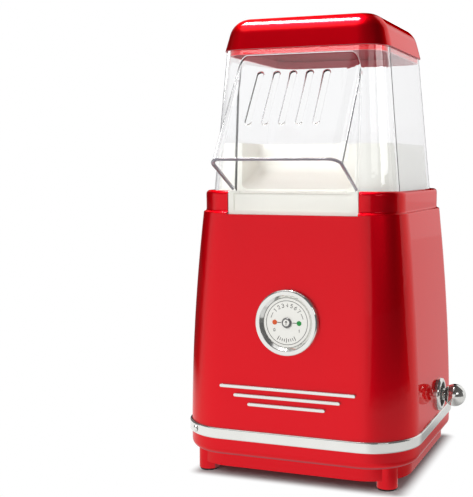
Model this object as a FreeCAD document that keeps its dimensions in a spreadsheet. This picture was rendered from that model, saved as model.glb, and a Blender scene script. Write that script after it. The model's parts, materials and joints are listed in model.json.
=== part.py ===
import FreeCAD, Part
import math
import os
import re

import Sketcher

# Hot-air popcorn maker. Millimetres, +Z up, front towards -Y, floor at Z 0.
# The body axis is the Z axis; the blower, heater and popping chamber share
# a second upright axis a little behind it.

SIZES = {
    # base, floor upwards
    "foot_height": 7.9,
    "foot_radius": 8.2,
    "foot_inset": 14.1,
    "pad_thickness": 1.5,
    "pad_inset": 0.8,
    "tray_width": 179.0,
    "tray_depth": 175.4,
    "tray_corner": 36.0,
    "tray_height": 9.9,
    "tray_floor": 2.5,
    "skirt_height": 13.7,
    "skirt_round": 6.0,
    "skirt_floor": 3.5,
    "band_height": 8.8,
    "band_proud": 1.8,
    "band_round": 1.2,
    # air intake in the tray floor
    "intake_count": 7,
    "intake_length": 64.0,
    "intake_slot": 4.0,
    "intake_pitch": 9.0,
    # body shell
    "body_width": 191.8,
    "body_depth": 188.0,
    "body_corner": 40.0,
    "body_height": 170.6,
    "body_bulge": 1.7,
    "body_wall": 2.5,
    "shoulder_width": 170.8,
    "shoulder_depth": 167.4,
    "shoulder_corner": 31.0,
    "shoulder_round": 1.2,
    "collar_height": 16.8,
    "collar_step": 2.2,
    "collar_wall": 3.6,
    "collar_round": 3.2,
    "collar_fillet": 1.6,
    "deck_drop": 1.8,
    "deck_thickness": 2.5,
    "notch_width": 108.0,
    "lean_span": 8.0,
    # posts and the screws that hold the tray to them
    "post_radius": 5.0,
    "post_height": 20.0,
    "post_cap": 3.0,
    "rib_thickness": 3.0,
    "screw_shank": 1.7,
    "screw_head": 3.2,
    "screw_head_height": 2.2,
    "screw_seat": 0.5,
    "screw_tip": 1.0,
    # clear hood and its awning
    "hood_width": 158.2,
    "hood_depth": 155.0,
    "hood_corner": 27.5,
    "hood_top_width": 135.4,
    "hood_top_depth": 132.7,
    "hood_top_corner": 20.5,
    "hood_wall": 2.2,
    "hood_height": 111.2,
    "awning_width": 103.0,
    "awning_corner": 9.0,
    "awning_rise": 106.3,
    "awning_projection": 43.1,
    "awning_run": 75.0,
    "lip_rise": 24.3,
    "mouth_gap": 0.6,
    "bead_radius": 0.9,
    "slot_count": 5,
    "slot_length": 49.0,
    "slot_width": 5.0,
    "slot_pitch": 13.6,
    "slot_drop": 42.0,
    "slot_round": 0.8,
    # lid
    "lid_overhang": 1.5,
    "lid_corner": 22.0,
    "lid_top_corner": 18.8,
    "lid_height": 25.6,
    "lid_draft": 6.4,
    "lid_round": 17.0,
    "lid_wall": 2.2,
    "lid_rib": 4.0,
    # chute
    "chute_gap": 1.5,
    "chute_height": 55.3,
    "chute_wall": 2.2,
    "trough_width": 92.0,
    "trough_fillet": 4.0,
    "spout_width": 95.0,
    "spout_inset": 0.5,
    "apron_width": 107.0,
    "apron_height": 18.2,
    "apron_frame": 4.5,
    "apron_sill": 3.0,
    "apron_recess": 1.0,
    "floor_drop": 1.6,
    "floor_slope": 0.36,
    "slide_run": 22.0,
    "slide_ease": 40.0,
    "crest_gap": 2.0,
    "crest_run": 7.0,
    "crest_rise": 16.0,
    "crest_ease": 12.0,
    "throat_gap": 1.0,
    "throat_flare": 6.0,
    "flare_height": 12.0,
    # popping chamber, air duct and heater
    "axis_back": 20.0,
    "chamber_radius": 43.0,
    "chamber_wall": 1.0,
    "chamber_depth": 79.0,
    "flange_width": 6.0,
    "dish_height": 4.0,
    "dish_radius": 14.0,
    "louvre_height": 14.0,
    "louvre_width": 2.4,
    "louvre_rise": 2.0,
    "louvre_count": 18,
    "duct_radius": 54.0,
    "duct_wall": 1.5,
    "duct_overlap": 28.0,
    "duct_height": 72.0,
    "duct_flange": 9.0,
    "flange_thickness": 2.0,
    "duct_post": 4.2,
    "duct_screw": 1.4,
    "duct_screw_length": 10.0,
    "intake_radius": 26.0,
    "ledge_width": 3.0,
    "ledge_clearance": 7.0,
    "heater_height": 18.0,
    "ring_thickness": 1.2,
    "ring_overlap": 4.0,
    "card_thickness": 1.0,
    "card_half": 33.0,
    "coil_wire": 0.7,
    "coil_turns": 5,
    "coil_margin": 2.5,
    # motor and blower wheel
    "shaft_radius": 2.0,
    "shaft_tail": 1.0,
    "shaft_nose": 3.0,
    "motor_radius": 16.5,
    "motor_length": 32.0,
    "can_wall": 1.2,
    "cap_length": 6.0,
    "cap_chamfer": 3.0,
    "cap_floor": 2.0,
    "cap_spigot": 2.0,
    "cap_wall": 1.4,
    "bush_wall": 2.4,
    "bush_length": 3.2,
    "magnet_thickness": 2.3,
    "magnet_margin": 5.5,
    "pole_gap": 5.0,
    "air_gap": 0.6,
    "commutator_wall": 2.6,
    "commutator_low": 1.0,
    "commutator_length": 5.5,
    "core_gap": 0.5,
    "core_margin": 6.0,
    "core_hub": 3.0,
    "core_taper": 2.0,
    "core_slots": 5,
    "core_slot_width": 1.8,
    "core_slot_depth": 4.0,
    "strap_thickness": 1.6,
    "strap_width": 14.0,
    "strap_reach": 9.0,
    "strap_end": 7.0,
    "strap_screw": 1.5,
    "strap_screw_tip": 0.6,
    "small_head": 3.0,
    "small_head_height": 2.4,
    "head_chamfer": 0.5,
    "wheel_clearance": 2.0,
    "wheel_radius": 46.0,
    "wheel_height": 15.0,
    "wheel_plate": 1.2,
    "wheel_hub": 5.0,
    "blade_count": 10,
    "blade_thickness": 1.3,
    "blade_start": 15.0,
    "blade_lean": 5.0,
    "clip_width": 2.0,
    "clip_thickness": 1.0,
    # temperature guard parts and rectifier
    "guard_height": 36.0,
    "stat_radius": 7.5,
    "stat_height": 5.0,
    "stat_cap_radius": 5.0,
    "stat_cap_height": 3.0,
    "fuse_radius": 2.0,
    "fuse_half": 5.0,
    "fuse_end": 1.5,
    "fuse_tip_radius": 0.8,
    "fuse_tip": 0.5,
    "board_side": -50.0,
    "board_front": -48.0,
    "board_length": 34.0,
    "board_width": 22.0,
    "board_thickness": 1.6,
    "lug_radius": 3.0,
    "lug_height": 5.5,
    "lug_pitch": 22.0,
    "diode_count": 4,
    "diode_radius": 1.7,
    "diode_length": 8.0,
    "diode_pitch": 8.0,
    # dial on the front
    "dial_height": 127.0,
    "dial_radius": 25.6,
    "dial_rim": 4.2,
    "dial_band": 3.9,
    "dial_round": 1.8,
    "dial_inner_round": 0.9,
    "dial_lip": 1.6,
    "dial_barrel": 6.0,
    "dial_ledge": 1.0,
    "ledge_thickness": 0.4,
    "dial_face": 20.4,
    "dial_plate": 2.45,
    "dial_level": 1.25,
    "retainer_width": 3.4,
    "retainer_thickness": 1.75,
    "hub_radius": 3.9,
    "hub_height": 1.6,
    "hub_chamfer": 0.7,
    "marker_radius": 1.9,
    "marker_offset": 10.0,
    "marker_height": 0.35,
    "marker_chamfer": 0.15,
    # trim bars on the front
    "trim_height": 68.0,
    "trim_length": 112.0,
    "trim_step": 24.0,
    "trim_pitch": 6.6,
    "trim_bar": 2.6,
    "trim_proud": 1.8,
    "trim_round": 0.5,
    # power lever on the right
    "switch_height": 55.8,
    "switch_back": 14.4,
    "bezel_radius": 13.8,
    "bezel_bore": 10.2,
    "bezel_proud": 4.0,
    "bezel_barrel": 7.0,
    "bezel_round": 2.6,
    "bezel_inner_round": 0.7,
    "nut_width": 3.2,
    "nut_thickness": 2.9,
    "nose_front": 1.0,
    "nose_length": 9.0,
    "housing_width": 26.0,
    "housing_height": 20.0,
    "housing_depth": 19.0,
    "cavity_width": 20.0,
    "cavity_height": 12.0,
    "cavity_depth": 13.0,
    "lever_slot": 15.6,
    "lever_play": 0.6,
    "pivot_depth": 12.0,
    "pin_radius": 1.5,
    "pin_length": 17.0,
    "terminal_width": 6.3,
    "terminal_gauge": 0.8,
    "terminal_length": 8.0,
    "terminal_pitch": 6.0,
    "stem_radius": 3.4,
    "stem_collar": 5.0,
    "stem_collar_drop": 1.2,
    "stem_collar_length": 2.4,
    "stem_collar_chamfer": 0.6,
    "barrel_radius": 4.4,
    "barrel_length": 11.0,
    "ball_radius": 9.3,
    "ball_reach": 13.9,
    # cord inlet at the back
    "gland_height": 52.0,
    "gland_side": -40.0,
    "gland_bore": 3.4,
    "gland_barrel": 5.5,
    "gland_flange": 2.0,
    "gland_proud": 2.8,
    "gland_chamfer": 1.0,
    "gland_seat": 0.3,
    "gland_clip": 1.8,
    "gland_clip_length": 2.5,
    # shared clearances
    "rest_gap": 0.1,
    "running_gap": 0.05,
    "seat_gap": 0.2,
    "lean_gap": 0.5,
    # how far a cutting tool runs past a face, and half the flat at a round end
    "over_cut": 1.0,
    "hole_reach": 12.0,
    "end_flat": 0.02,
}

doc = FreeCAD.newDocument("popcorn_maker")
sheet = doc.addObject("Spreadsheet::Sheet", "Dims")
for row, (alias, number) in enumerate(SIZES.items(), start=1):
    sheet.set("A%d" % row, alias)
    sheet.set("B%d" % row, str(number))
    sheet.setAlias("B%d" % row, alias)
doc.recompute()

V = FreeCAD.Vector
UPRIGHT = FreeCAD.Rotation()
ABOUT_X = V(1, 0, 0)
ABOUT_Z = V(0, 0, 1)
PLANE_XZ = FreeCAD.Rotation(ABOUT_X, 90)
PLANE_YZ = FreeCAD.Rotation(0.5, 0.5, 0.5, 0.5)
# turns a rod from upright to lying along -Y
ACROSS = FreeCAD.Rotation(ABOUT_X, 90)
TINY = 1e-4

# heights that several pieces share
Z_TRAY = "foot_height"
Z_SKIRT = "(foot_height + tray_height)"
Z_BAND = "(foot_height + tray_height + skirt_height)"
Z_BODY = "(foot_height + tray_height + skirt_height + band_height)"
Z_SHOULDER = "(%s + body_height)" % Z_BODY
Z_COLLAR = "(%s + collar_height)" % Z_SHOULDER
Z_DECK = "(%s - deck_drop)" % Z_SHOULDER
Z_LID = "(%s + hood_height)" % Z_COLLAR
Z_REST = "(%s + rest_gap)" % Z_DECK
FOOT_X = "(tray_width / 2 - foot_inset)"
FOOT_Y = "(tray_depth / 2 - foot_inset)"


def on_sheet(text):
    """Point every size name in an expression at its cell."""
    words = re.compile(r"[a-z][a-z_]*")
    return words.sub(lambda m: "Dims." + m.group(0) if m.group(0) in SIZES else m.group(0), text)


def bind(target, prop, text):
    target.setExpression(prop, on_sheet(text))


def value(text):
    return float(sheet.evalExpression(on_sheet(text)))


def put(target, x="0", y="0", z="0", turn=UPRIGHT):
    target.Placement = FreeCAD.Placement(V(value(x), value(y), value(z)), turn)
    for axis, text in (("x", x), ("y", y), ("z", z)):
        if text != "0":
            bind(target, "Placement.Base." + axis, text)
    return target


def box(length, width, height, x="0", y="0", z="0"):
    made = doc.addObject("Part::Box", "box")
    bind(made, "Length", length)
    bind(made, "Width", width)
    bind(made, "Height", height)
    return put(made, x, y, z)


def rod(radius, height, x="0", y="0", z="0", turn=UPRIGHT):
    made = doc.addObject("Part::Cylinder", "rod")
    bind(made, "Radius", radius)
    bind(made, "Height", height)
    return put(made, x, y, z, turn)


def rounded_sketch(width, depth, corner, placement):
    """A centred rectangle with four equal round corners."""
    made = doc.addObject("Sketcher::SketchObject", "rounded")
    w = value(width) / 2
    d = value(depth) / 2
    r = value(corner)
    line = Part.LineSegment
    made.addGeometry(line(V(r - w, -d, 0), V(w - r, -d, 0)))
    made.addGeometry(line(V(w, r - d, 0), V(w, d - r, 0)))
    made.addGeometry(line(V(w - r, d, 0), V(r - w, d, 0)))
    made.addGeometry(line(V(-w, d - r, 0), V(-w, r - d, 0)))
    for number, (x, y) in enumerate(((w - r, r - d), (w - r, d - r), (r - w, d - r), (r - w, r - d))):
        start = (number - 1) * math.pi / 2
        circle = Part.Circle(V(x, y, 0), V(0, 0, 1), r)
        made.addGeometry(Part.ArcOfCircle(circle, start, start + math.pi / 2))
    for side in range(4):
        made.addConstraint(Sketcher.Constraint("Tangent", side, 2, 4 + side, 1))
        made.addConstraint(Sketcher.Constraint("Tangent", 4 + side, 2, (side + 1) % 4, 1))
    made.addConstraint(Sketcher.Constraint("Horizontal", 0))
    made.addConstraint(Sketcher.Constraint("Vertical", 1))
    made.addConstraint(Sketcher.Constraint("Horizontal", 2))
    made.addConstraint(Sketcher.Constraint("Vertical", 3))
    for other in (5, 6, 7):
        made.addConstraint(Sketcher.Constraint("Equal", 4, other))
    made.addConstraint(Sketcher.Constraint("Symmetric", 4, 3, 6, 3, -1, 1))
    for kind, ends, size in (("DistanceX", (3, 1, 1, 1), width), ("DistanceY", (0, 1, 2, 1), depth)):
        index = made.addConstraint(Sketcher.Constraint(kind, *ends, value(size)))
        bind(made, "Constraints[%d]" % index, size)
    index = made.addConstraint(Sketcher.Constraint("Radius", 4, r))
    bind(made, "Constraints[%d]" % index, corner)
    made.Placement = placement
    return made


def level(width, depth, corner, z):
    made = rounded_sketch(width, depth, corner, FreeCAD.Placement())
    return put(made, z=z)


def polygon_sketch(points, turn):
    """A closed outline of straight sides; each corner is tied to the sheet."""
    made = doc.addObject("Sketcher::SketchObject", "outline")
    spots = [V(value(x), value(y), 0) for x, y in points]
    count = len(spots)
    for number in range(count):
        made.addGeometry(Part.LineSegment(spots[number], spots[(number + 1) % count]))
    for number in range(count):
        made.addConstraint(Sketcher.Constraint("Coincident", number, 2, (number + 1) % count, 1))
    for number, (x, y) in enumerate(points):
        spot = spots[number]
        for kind, text, axis, amount in (("DistanceX", x, -2, spot.x), ("DistanceY", y, -1, spot.y)):
            if abs(amount) < 1e-9:
                made.addConstraint(Sketcher.Constraint("PointOnObject", number, 1, axis))
            else:
                index = made.addConstraint(Sketcher.Constraint(kind, -1, 1, number, 1, amount))
                bind(made, "Constraints[%d]" % index, text)
    made.Placement = FreeCAD.Placement(V(0, 0, 0), turn)
    return made


def extrude(sketch, length, direction, both_ways=False):
    made = doc.addObject("Part::Extrusion", "extrusion")
    made.Base = sketch
    made.DirMode = "Custom"
    made.Dir = direction
    made.Solid = True
    made.Symmetric = both_ways
    bind(made, "LengthFwd", length)
    return made


def prism(width, depth, corner, z, height):
    return extrude(level(width, depth, corner, z), height, V(0, 0, 1))


def loft(sections):
    made = doc.addObject("Part::Loft", "loft")
    made.Sections = sections
    made.Solid = True
    made.Ruled = len(sections) == 2
    return made


def turned(points):
    """A solid of revolution about Z from (radius, height) corners."""
    made = doc.addObject("Part::Revolution", "turned")
    made.Source = polygon_sketch(points, PLANE_XZ)
    made.Axis = V(0, 0, 1)
    made.Base = V(0, 0, 0)
    made.Angle = 360
    made.Solid = True
    return made


def fuse(*pieces):
    made = doc.addObject("Part::MultiFuse", "fuse")
    made.Shapes = list(pieces)
    return made


def cut(base, *tools):
    made = doc.addObject("Part::Cut", "cut")
    made.Base = base
    made.Tool = tools[0] if len(tools) == 1 else fuse(*tools)
    return made


def common(first, second):
    made = doc.addObject("Part::Common", "common")
    made.Base = first
    made.Tool = second
    return made


def group(*pieces):
    made = doc.addObject("Part::Compound", "group")
    made.Links = list(pieces)
    return made


def rounded_edges(base, radius, wanted):
    """Round the edges of a piece whose middle point passes a test."""
    doc.recompute()
    amount = value(radius)
    chosen = []
    for number, edge in enumerate(base.Shape.Edges, start=1):
        middle = edge.valueAt((edge.FirstParameter + edge.LastParameter) / 2)
        if wanted(middle, edge):
            chosen.append((number, amount, amount))
    made = doc.addObject("Part::Fillet", "rounding")
    made.Base = base
    made.Edges = chosen
    return made


def at_height(text):
    height = value(text)
    return lambda middle, edge: abs(middle.z - height) < TINY


def on_ring(radius, z):
    """Picks the circle about Z of one radius at one height."""
    far = value(radius)
    level_test = at_height(z)
    return lambda middle, edge: level_test(middle, edge) and abs(math.hypot(middle.x, middle.y) - far) < TINY


NODES = []


def node(piece, name):
    piece.Label = name
    NODES.append(piece)
    return piece



# body shell: a convex tapered box with a collar on top and a deck inside it

MID_WIDTH = "((body_width + shoulder_width) / 2 + 2 * body_bulge)"
MID_DEPTH = "((body_depth + shoulder_depth) / 2 + 2 * body_bulge)"
MID_CORNER = "((body_corner + shoulder_corner) / 2)"
Z_MID = "(%s + body_height / 2)" % Z_BODY


def inset_level(width, depth, corner, inset, z):
    return level("%s - 2 * %s" % (width, inset), "%s - 2 * %s" % (depth, inset), "%s - %s" % (corner, inset), z)


def body_loft(inset):
    return loft([
        inset_level("body_width", "body_depth", "body_corner", inset, Z_BODY),
        inset_level(MID_WIDTH, MID_DEPTH, MID_CORNER, inset, Z_MID),
        inset_level("shoulder_width", "shoulder_depth", "shoulder_corner", inset, Z_SHOULDER)])


outer_body = body_loft("0")
plinth = prism("body_width", "body_depth", "body_corner", Z_BAND, "band_height")
collar = prism("shoulder_width - 2 * collar_step", "shoulder_depth - 2 * collar_step",
               "shoulder_corner - collar_step", Z_SHOULDER, "collar_height")
collar = rounded_edges(collar, "collar_round", at_height(Z_COLLAR))


def at_shoulder(touching):
    """Picks the shoulder's edges that touch the collar, or those that don't."""
    level_test = at_height(Z_SHOULDER)

    def wanted(middle, edge):
        apart = collar.Shape.distToShape(Part.Vertex(middle))[0]
        return level_test(middle, edge) and (apart < TINY) == touching
    return wanted


full_body = fuse(plinth, outer_body, collar)
doc.recompute()
full_body = rounded_edges(full_body, "shoulder_round", at_shoulder(False))
full_body = rounded_edges(full_body, "collar_fillet", at_shoulder(True))
above_deck = box("2 * body_width", "2 * body_depth", "body_height", "-body_width", "-body_depth",
                 Z_DECK + " - deck_thickness")
hollow = cut(body_loft("body_wall"), above_deck)
plinth_hollow = prism("body_width - 2 * body_wall", "body_depth - 2 * body_wall", "body_corner - body_wall",
                      Z_BAND + " - over_cut", "band_height + over_cut")
COLLAR_INSET = "2 * collar_step - 2 * collar_wall"
collar_hollow = prism("shoulder_width - " + COLLAR_INSET, "shoulder_depth - " + COLLAR_INSET,
                      "shoulder_corner - collar_step - collar_wall", Z_DECK,
                      "collar_height + deck_drop + over_cut")
deck_hole = rod("chamber_radius + chamber_wall + seat_gap", "3 * deck_thickness", "0", "axis_back",
                Z_DECK + " - 2 * deck_thickness")
notch = box("notch_width", "body_depth - shoulder_depth / 2 + collar_step + collar_wall + over_cut",
            "collar_height + deck_drop + over_cut", "-notch_width / 2", "-body_depth", Z_DECK)

# screw posts in the four corners, each joined to the wall by a rib

CORNERS = [("%d * %s" % (sx, FOOT_X), "%d * %s" % (sy, FOOT_Y), math.degrees(math.atan2(sy, sx)))
           for sx, sy in ((1, 1), (-1, 1), (-1, -1), (1, -1))]
posts = []
pilots = []
for x, y, aim in CORNERS:
    posts.append(rod("post_radius", "post_height", x, y, Z_BAND))
    rib = box("body_corner", "rib_thickness", "post_height")
    turn = FreeCAD.Rotation(ABOUT_Z, aim)
    side = turn.multVec(V(0, -0.5, 0))
    put(rib, "%s + %.6f * rib_thickness" % (x, side.x), "%s + %.6f * rib_thickness" % (y, side.y), Z_BAND, turn)
    posts.append(rib)
    pilots.append(rod("screw_shank + running_gap", "post_height - post_cap + over_cut", x, y,
                      Z_BAND + " - over_cut"))
inside_posts = common(fuse(*posts), fuse(plinth, outer_body))

doc.recompute()


def skin(x, y, z, direction):
    """The point where a ray from outside first meets the full body."""
    start = V(x, y, z) + direction * value("2 * body_width")
    ray = Part.makeLine(start, V(x, y, z))
    spots = [v.Point for v in full_body.Shape.common(ray).Vertexes]
    return min(spots, key=lambda spot: spot.distanceToPoint(start))


def front_frame(z):
    """A frame on the front face: local Z points out of it, local Y up along it."""
    half = value("lean_span / 2")
    low = skin(0, 0, z - half, V(0, -1, 0))
    high = skin(0, 0, z + half, V(0, -1, 0))
    lean = math.degrees(math.atan2(high.y - low.y, high.z - low.z))
    return FreeCAD.Placement(skin(0, 0, z, V(0, -1, 0)), FreeCAD.Rotation(ABOUT_X, 90 - lean))


dial_frame = front_frame(value("dial_height"))
trim_frame = front_frame(value("trim_height"))
switch_spot = skin(0, value("switch_back"), value("switch_height"), V(1, 0, 0))
switch_frame = FreeCAD.Placement(switch_spot, FreeCAD.Rotation(V(0, 1, 0), 90))
gland_spot = skin(value("gland_side"), 0, value("gland_height"), V(0, 1, 0))
gland_frame = FreeCAD.Placement(gland_spot, FreeCAD.Rotation(ABOUT_X, -90))


def placed(piece, frame):
    piece.Placement = frame
    return piece


def wall_hole(radius, frame):
    return placed(group(rod(radius + " + seat_gap / 2", "2 * hole_reach", z="-hole_reach")), frame)


DIAL_BARREL = "(dial_radius - dial_lip)"
holes = [wall_hole(DIAL_BARREL, dial_frame), wall_hole("bezel_radius", switch_frame),
         wall_hole("gland_barrel", gland_frame)]
shell = cut(full_body, hollow, plinth_hollow, collar_hollow, deck_hole, notch)
shell = fuse(shell, inside_posts)
node(cut(shell, *holes, *pilots), "body_shell")

# base tray: rounded skirt, inset tray, foot columns and the blower posts

skirt = prism("body_width", "body_depth", "body_corner", Z_SKIRT, "skirt_height")
skirt = rounded_edges(skirt, "skirt_round", at_height(Z_SKIRT))
tray = prism("tray_width", "tray_depth", "tray_corner", Z_TRAY, "tray_height + over_cut")
tray_hollow = prism("tray_width - 2 * body_wall", "tray_depth - 2 * body_wall", "tray_corner - body_wall",
                    Z_TRAY + " + tray_floor", "tray_height + skirt_height")
skirt_hollow = prism("body_width - 2 * body_wall", "body_depth - 2 * body_wall", "body_corner - body_wall",
                     Z_SKIRT + " + skirt_floor", "skirt_height")
Z_FLOOR = "(foot_height + tray_floor)"
Z_DUCT = "(%s - chamber_depth + duct_overlap - duct_height)" % Z_REST
DUCT_OUT = "(duct_radius + duct_wall)"
SCREW_RING = "(duct_radius + duct_wall + duct_flange / 2)"
Z_SEAT = "(foot_height + screw_seat)"

columns = []
bores = []
for x, y, aim in CORNERS:
    columns.append(rod("foot_radius", "foot_height + tray_height - pad_thickness + over_cut", x, y,
                       "pad_thickness"))
    columns.append(rod("post_radius", "skirt_height + over_cut", x, y, Z_SKIRT + " - over_cut"))
    bores.append(rod("screw_head + 2 * seat_gap", Z_SEAT + " - pad_thickness + over_cut", x, y,
                     "pad_thickness - over_cut"))
    bores.append(rod("screw_shank + seat_gap", Z_BAND + " + over_cut - pad_thickness", x, y, "pad_thickness"))

# the three screws that carry the duct, as (across, along) from the blower axis
SPOKES = [("%s * %.6f" % (SCREW_RING, math.cos(math.radians(angle))),
           "%s * %.6f" % (SCREW_RING, math.sin(math.radians(angle)))) for angle in (90, 210, 330)]
duct_posts = []
duct_pilots = []
for x, y in SPOKES:
    y = "axis_back + " + y
    duct_posts.append(rod("duct_post", Z_DUCT + " - foot_height - over_cut", x, y, "foot_height + over_cut"))
    duct_pilots.append(rod("duct_screw + running_gap", "duct_screw_length + 2 * screw_tip + over_cut", x, y,
                           Z_DUCT + " - duct_screw_length - 2 * screw_tip"))

board_lugs = [rod("lug_radius", "lug_height + over_cut", "board_side + %d * lug_pitch / 2" % side,
                  "board_front", Z_FLOOR + " - over_cut") for side in (-1, 1)]
intake = [box("intake_length", "intake_slot", "3 * tray_floor", "-intake_length / 2",
              "axis_back + (%d - intake_count / 2) * intake_pitch + (intake_pitch - intake_slot) / 2" % number,
              "foot_height - tray_floor") for number in range(SIZES["intake_count"])]

base = cut(fuse(skirt, tray), tray_hollow, skirt_hollow)
base = fuse(base, *columns, *duct_posts, *board_lugs)
node(cut(base, *bores, *duct_pilots, *intake), "base_tray")

node(group(*[rod("foot_radius - pad_inset", "pad_thickness", x, y) for x, y, aim in CORNERS]), "foot_pads")

SCREW_LOW = "(%s - rest_gap - screw_head_height)" % Z_SEAT
SCREW_RUN = "(%s + post_height - 2 * post_cap - %s)" % (Z_BAND, SCREW_LOW)
tray_screws = []
for x, y, aim in CORNERS:
    screw = turned([
        ("0", "0"), ("screw_head", "0"), ("screw_head", "screw_head_height"),
        ("screw_shank", "screw_head_height"), ("screw_shank", SCREW_RUN + " - screw_tip"), ("0", SCREW_RUN)])
    tray_screws.append(put(screw, x, y, SCREW_LOW))
node(group(*tray_screws), "tray_screws")

band = prism("body_width + 2 * band_proud", "body_depth + 2 * band_proud", "body_corner + band_proud",
             Z_BAND, "band_height")
band = rounded_edges(band, "band_round", at_height(Z_BAND))
band = rounded_edges(band, "band_round", at_height(Z_BODY))
band_hole = prism("body_width", "body_depth", "body_corner", Z_BAND + " - over_cut",
                  "band_height + 2 * over_cut")
node(cut(band, band_hole), "chrome_band")

# dial: bezel in a hole of the front wall, face, hub and two markers

LEDGE_LOW = "(dial_level + running_gap)"
bezel = turned([
    ("dial_face + seat_gap", "-dial_barrel"), (DIAL_BARREL, "-dial_barrel"), (DIAL_BARREL, "rest_gap"),
    ("dial_radius", "rest_gap"), ("dial_radius", "dial_rim"), ("dial_radius - dial_band", "dial_rim"),
    ("dial_face - dial_ledge", LEDGE_LOW + " + ledge_thickness"), ("dial_face - dial_ledge", LEDGE_LOW),
    ("dial_face + seat_gap", LEDGE_LOW)])
bezel = rounded_edges(bezel, "dial_round", on_ring("dial_radius", "dial_rim"))
bezel = rounded_edges(bezel, "dial_inner_round", on_ring("dial_radius - dial_band", "dial_rim"))
node(placed(group(bezel), dial_frame), "dial_bezel")


def wall_ring(inner, width, thickness):
    """A ring that clamps a barrel from inside the wall."""
    low = "-body_wall - lean_gap - " + thickness
    high = "-body_wall - lean_gap"
    near = inner + " + running_gap"
    far = "%s + %s" % (inner, width)
    return turned([(near, low), (far, low), (far, high), (near, high)])


node(placed(wall_ring(DIAL_BARREL, "retainer_width", "retainer_thickness"), dial_frame), "dial_retainer")
FACE_EDGE = "dial_face + seat_gap / 2"
FACE_LOW = "dial_level - dial_plate"
face = turned([("0", FACE_LOW), (FACE_EDGE, FACE_LOW), (FACE_EDGE, "dial_level"), ("0", "dial_level")])
node(placed(face, dial_frame), "dial_face")


def button(radius, height, chamfer):
    """A low round button on the dial face."""
    top = "dial_level + " + height
    return turned([("0", "dial_level"), (radius, "dial_level"), (radius, "%s - %s" % (top, chamfer)),
                   ("%s - %s" % (radius, chamfer), top), ("0", top)])


node(placed(button("hub_radius", "hub_height", "hub_chamfer"), dial_frame), "dial_hub")
for name, side in (("ready_marker", -1), ("start_marker", 1)):
    dot = put(button("marker_radius", "marker_height", "marker_chamfer"), x="%d * marker_offset" % side)
    node(placed(group(dot), dial_frame), name)

# three stacked trim bars with round ends below the dial

bars = []
for step in (-1, 0, 1):
    length = "(trim_length - %d * trim_step)" % (step + 1)
    outline = rounded_sketch(length, "trim_bar", "trim_bar / 2 - end_flat", FreeCAD.Placement())
    put(outline, y="%d * trim_pitch" % -step, z="rest_gap")
    bar = extrude(outline, "trim_proud", V(0, 0, 1))
    bars.append(rounded_edges(bar, "trim_round", at_height("rest_gap + trim_proud")))
node(placed(group(*bars), trim_frame), "front_trim")

# power lever: chrome bezel through the wall, ring nut, black switch, stem and ball

bezel = turned([("bezel_bore", "-bezel_barrel"), ("bezel_radius", "-bezel_barrel"),
                ("bezel_radius", "bezel_proud"), ("bezel_bore", "bezel_proud")])
bezel = rounded_edges(bezel, "bezel_round", on_ring("bezel_radius", "bezel_proud"))
bezel = rounded_edges(bezel, "bezel_inner_round", on_ring("bezel_bore", "bezel_proud"))
node(placed(group(bezel), switch_frame), "switch_bezel")
node(placed(wall_ring("bezel_radius", "nut_width", "nut_thickness"), switch_frame), "switch_nut")
nose = rod("bezel_bore - running_gap", "nose_length", z="nose_front - nose_length")
housing = box("housing_width", "housing_height", "housing_depth", "-housing_width / 2", "-housing_height / 2",
              "-bezel_barrel - housing_depth")
lever_slot = box("lever_slot", "2 * stem_radius + 2 * lever_play", "nose_length + 2 * over_cut",
                 "-lever_slot / 2", "-stem_radius - lever_play", "nose_front - nose_length - over_cut")
cavity = box("cavity_width", "cavity_height", "cavity_depth", "-cavity_width / 2", "-cavity_height / 2",
             "-bezel_barrel - cavity_depth")


def cross_rod(radius, length):
    """A rod along the lever's pivot axis, centred on the lever."""
    return rod(radius, length, "0", "(%s) / 2" % length, "-pivot_depth", ACROSS)


switch_body = cut(fuse(nose, housing), lever_slot, cavity, cross_rod("pin_radius", "pin_length + over_cut"))
node(placed(switch_body, switch_frame), "switch_body")
node(placed(group(cross_rod("pin_radius", "pin_length")), switch_frame), "lever_pin")
terminals = [box("terminal_width", "terminal_gauge", "terminal_length", "-terminal_width / 2",
                 "%d * terminal_pitch - terminal_gauge / 2" % side,
                 "-bezel_barrel - housing_depth - terminal_length") for side in (-1, 0, 1)]
node(placed(group(*terminals), switch_frame), "switch_terminals")
COLLAR_LOW = "bezel_proud - stem_collar_drop"
COLLAR_HIGH = COLLAR_LOW + " + stem_collar_length"
stem = turned([
    ("0", "-pivot_depth"), ("stem_radius", "-pivot_depth"), ("stem_radius", COLLAR_LOW),
    ("stem_collar", COLLAR_LOW), ("stem_collar", COLLAR_HIGH + " - stem_collar_chamfer"),
    ("stem_collar - stem_collar_chamfer", COLLAR_HIGH), ("stem_radius", COLLAR_HIGH),
    ("stem_radius", "ball_reach"), ("0", "ball_reach")])
stem = fuse(stem, cross_rod("barrel_radius", "barrel_length"))
node(placed(cut(stem, cross_rod("pin_radius + running_gap", "2 * barrel_length")), switch_frame), "lever_stem")
ball = doc.addObject("Part::Sphere", "ball")
bind(ball, "Radius", "ball_radius")
put(ball, z="ball_reach")
ball_bore = rod("stem_radius", "ball_radius + over_cut", z="ball_reach - ball_radius - over_cut")
node(placed(cut(ball, ball_bore), switch_frame), "lever_ball")

# cord inlet: a flanged bush through the back wall

CLIP_LOW = "-body_wall - lean_gap - gland_clip_length"
gland = turned([
    ("gland_bore", CLIP_LOW), ("gland_barrel + gland_clip", CLIP_LOW),
    ("gland_barrel + gland_clip", "-body_wall - lean_gap"), ("gland_barrel", "-body_wall - lean_gap"),
    ("gland_barrel", "gland_seat"), ("gland_barrel + gland_flange", "gland_seat"),
    ("gland_barrel + gland_flange", "gland_proud - gland_chamfer"),
    ("gland_barrel + gland_flange - gland_chamfer", "gland_proud"), ("gland_bore", "gland_proud")])
node(placed(gland, gland_frame), "cord_gland")

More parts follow.
